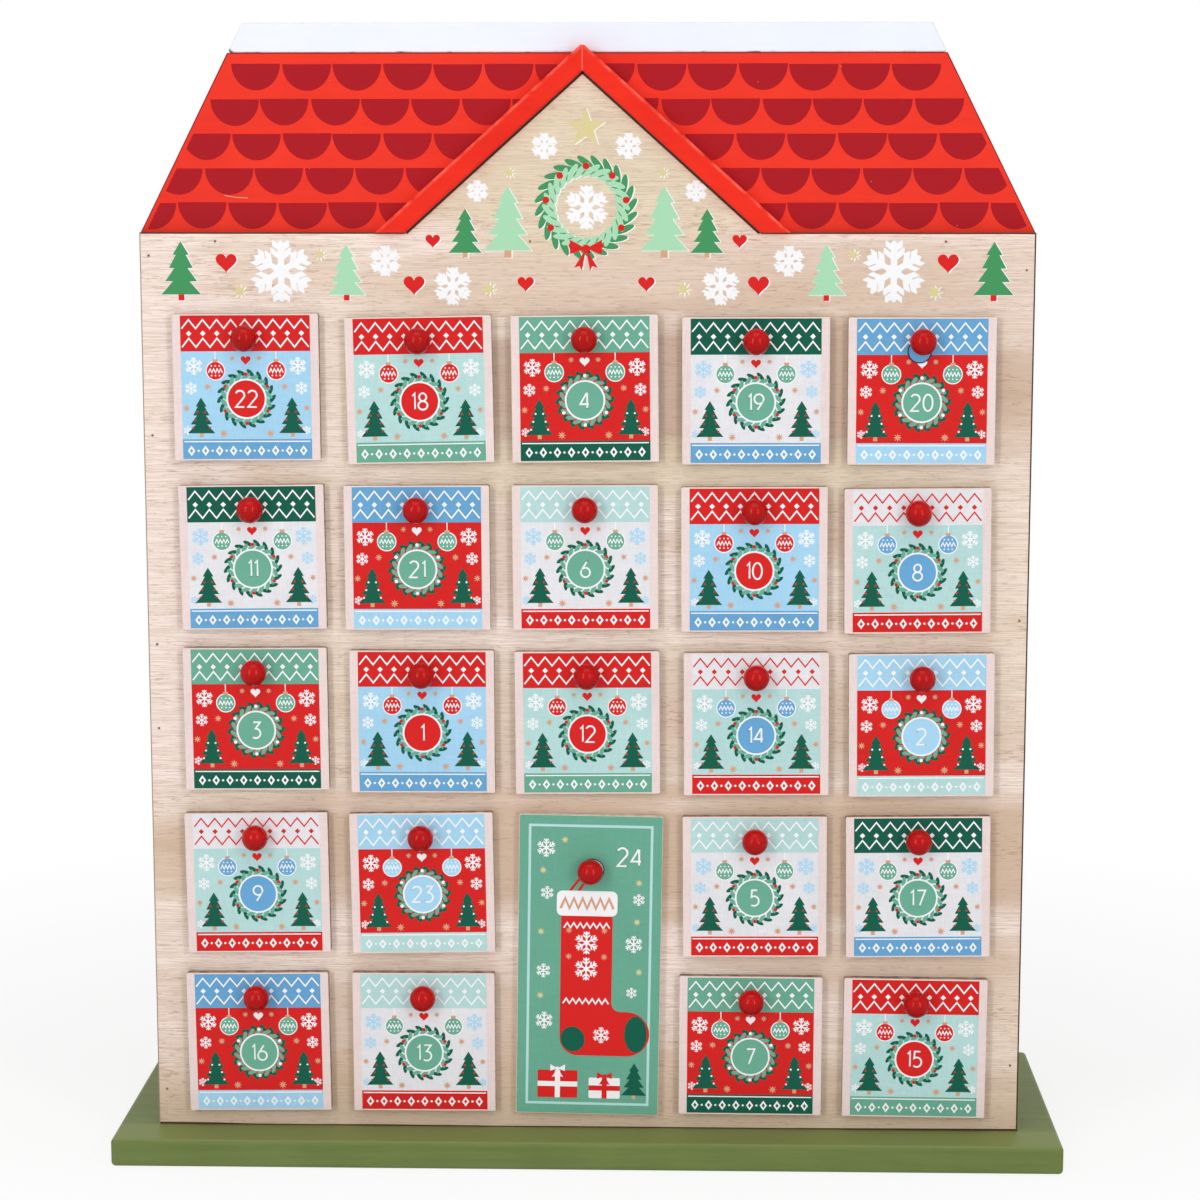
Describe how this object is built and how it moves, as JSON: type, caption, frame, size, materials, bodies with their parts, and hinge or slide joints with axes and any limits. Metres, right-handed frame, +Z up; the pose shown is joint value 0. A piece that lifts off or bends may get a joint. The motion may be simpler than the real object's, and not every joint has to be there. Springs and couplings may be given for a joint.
{
  "type": "wooden advent calendar",
  "caption": "House-shaped wooden advent calendar: numbered drawers with ball knobs slide out of a plywood front under a scalloped red roof, on a green base board.",
  "frame": {"origin": "middle of the base board's underside", "axes": "+Z up, drawer fronts facing -Y, +X to the right as seen from the front"},
  "size_m": [0.3326, 0.112, 0.3946],
  "materials": {
    "green_paint": "satin paint on board",
    "panel_plywood": "pale plywood, matt",
    "plain_wood": "bare board, matt",
    "grid_plywood": "bare plywood, matt",
    "drawer_plywood": "bare plywood with printed front",
    "roof_red_print": "printed board, satin",
    "roof_red_paint": "satin paint on board",
    "white_paint": "satin paint on board",
    "trim_red_paint": "satin paint on wood",
    "knob_red_paint": "gloss paint on wooden ball",
    "pin_steel": "dull pin heads"
  },
  "bodies": {
    "house": {"base_board": "green_paint", "front_panel": "panel_plywood", "back_panel": "panel_plywood", "side_walls": "plain_wood", "floor_and_ceiling": "plain_wood", "shelves": "grid_plywood", "dividers": "grid_plywood", "roof_panel": "roof_red_print", "roof_ends": "roof_red_paint", "ridge_board": "white_paint", "gable_trims": "trim_red_paint", "panel_pins": "pin_steel"},
    "drawer_body_01": {"drawer_01": "drawer_plywood", "knob_01": "knob_red_paint"},
    "drawer_body_02": {"drawer_02": "drawer_plywood", "knob_02": "knob_red_paint"},
    "drawer_body_03": {"drawer_03": "drawer_plywood", "knob_03": "knob_red_paint"},
    "drawer_body_04": {"drawer_04": "drawer_plywood", "knob_04": "knob_red_paint"},
    "drawer_body_05": {"drawer_05": "drawer_plywood", "knob_05": "knob_red_paint"},
    "drawer_body_06": {"drawer_06": "drawer_plywood", "knob_06": "knob_red_paint"},
    "drawer_body_07": {"drawer_07": "drawer_plywood", "knob_07": "knob_red_paint"},
    "drawer_body_08": {"drawer_08": "drawer_plywood", "knob_08": "knob_red_paint"},
    "drawer_body_09": {"drawer_09": "drawer_plywood", "knob_09": "knob_red_paint"},
    "drawer_body_10": {"drawer_10": "drawer_plywood", "knob_10": "knob_red_paint"},
    "drawer_body_11": {"drawer_11": "drawer_plywood", "knob_11": "knob_red_paint"},
    "drawer_body_12": {"drawer_12": "drawer_plywood", "knob_12": "knob_red_paint"},
    "drawer_body_13": {"drawer_13": "drawer_plywood", "knob_13": "knob_red_paint"},
    "drawer_body_14": {"drawer_14": "drawer_plywood", "knob_14": "knob_red_paint"},
    "drawer_body_15": {"drawer_15": "drawer_plywood", "knob_15": "knob_red_paint"},
    "drawer_body_16": {"drawer_16": "drawer_plywood", "knob_16": "knob_red_paint"},
    "drawer_body_17": {"drawer_17": "drawer_plywood", "knob_17": "knob_red_paint"},
    "drawer_body_18": {"drawer_18": "drawer_plywood", "knob_18": "knob_red_paint"},
    "drawer_body_19": {"drawer_19": "drawer_plywood", "knob_19": "knob_red_paint"},
    "drawer_body_20": {"drawer_20": "drawer_plywood", "knob_20": "knob_red_paint"},
    "drawer_body_21": {"drawer_21": "drawer_plywood", "knob_21": "knob_red_paint"},
    "drawer_body_22": {"drawer_22": "drawer_plywood", "knob_22": "knob_red_paint"},
    "drawer_body_23": {"drawer_23": "drawer_plywood", "knob_23": "knob_red_paint"},
    "drawer_body_24": {"drawer_24": "drawer_plywood", "knob_24": "knob_red_paint"}
  },
  "joints": [
    {"name": "drawer_01_slide", "type": "slide", "parent": "house", "child": "drawer_body_01", "axis": [0, -1, 0], "range_m": [0, 0.055]},
    {"name": "drawer_02_slide", "type": "slide", "parent": "house", "child": "drawer_body_02", "axis": [0, -1, 0], "range_m": [0, 0.055]},
    {"name": "drawer_03_slide", "type": "slide", "parent": "house", "child": "drawer_body_03", "axis": [0, -1, 0], "range_m": [0, 0.055]},
    {"name": "drawer_04_slide", "type": "slide", "parent": "house", "child": "drawer_body_04", "axis": [0, -1, 0], "range_m": [0, 0.055]},
    {"name": "drawer_05_slide", "type": "slide", "parent": "house", "child": "drawer_body_05", "axis": [0, -1, 0], "range_m": [0, 0.055]},
    {"name": "drawer_06_slide", "type": "slide", "parent": "house", "child": "drawer_body_06", "axis": [0, -1, 0], "range_m": [0, 0.055]},
    {"name": "drawer_07_slide", "type": "slide", "parent": "house", "child": "drawer_body_07", "axis": [0, -1, 0], "range_m": [0, 0.055]},
    {"name": "drawer_08_slide", "type": "slide", "parent": "house", "child": "drawer_body_08", "axis": [0, -1, 0], "range_m": [0, 0.055]},
    {"name": "drawer_09_slide", "type": "slide", "parent": "house", "child": "drawer_body_09", "axis": [0, -1, 0], "range_m": [0, 0.055]},
    {"name": "drawer_10_slide", "type": "slide", "parent": "house", "child": "drawer_body_10", "axis": [0, -1, 0], "range_m": [0, 0.055]},
    {"name": "drawer_11_slide", "type": "slide", "parent": "house", "child": "drawer_body_11", "axis": [0, -1, 0], "range_m": [0, 0.055]},
    {"name": "drawer_12_slide", "type": "slide", "parent": "house", "child": "drawer_body_12", "axis": [0, -1, 0], "range_m": [0, 0.055]},
    {"name": "drawer_13_slide", "type": "slide", "parent": "house", "child": "drawer_body_13", "axis": [0, -1, 0], "range_m": [0, 0.055]},
    {"name": "drawer_14_slide", "type": "slide", "parent": "house", "child": "drawer_body_14", "axis": [0, -1, 0], "range_m": [0, 0.055]},
    {"name": "drawer_15_slide", "type": "slide", "parent": "house", "child": "drawer_body_15", "axis": [0, -1, 0], "range_m": [0, 0.055]},
    {"name": "drawer_16_slide", "type": "slide", "parent": "house", "child": "drawer_body_16", "axis": [0, -1, 0], "range_m": [0, 0.055]},
    {"name": "drawer_17_slide", "type": "slide", "parent": "house", "child": "drawer_body_17", "axis": [0, -1, 0], "range_m": [0, 0.055]},
    {"name": "drawer_18_slide", "type": "slide", "parent": "house", "child": "drawer_body_18", "axis": [0, -1, 0], "range_m": [0, 0.055]},
    {"name": "drawer_19_slide", "type": "slide", "parent": "house", "child": "drawer_body_19", "axis": [0, -1, 0], "range_m": [0, 0.055]},
    {"name": "drawer_20_slide", "type": "slide", "parent": "house", "child": "drawer_body_20", "axis": [0, -1, 0], "range_m": [0, 0.055]},
    {"name": "drawer_21_slide", "type": "slide", "parent": "house", "child": "drawer_body_21", "axis": [0, -1, 0], "range_m": [0, 0.055]},
    {"name": "drawer_22_slide", "type": "slide", "parent": "house", "child": "drawer_body_22", "axis": [0, -1, 0], "range_m": [0, 0.055]},
    {"name": "drawer_23_slide", "type": "slide", "parent": "house", "child": "drawer_body_23", "axis": [0, -1, 0], "range_m": [0, 0.055]},
    {"name": "drawer_24_slide", "type": "slide", "parent": "house", "child": "drawer_body_24", "axis": [0, -1, 0], "range_m": [0, 0.055]}
  ]
}
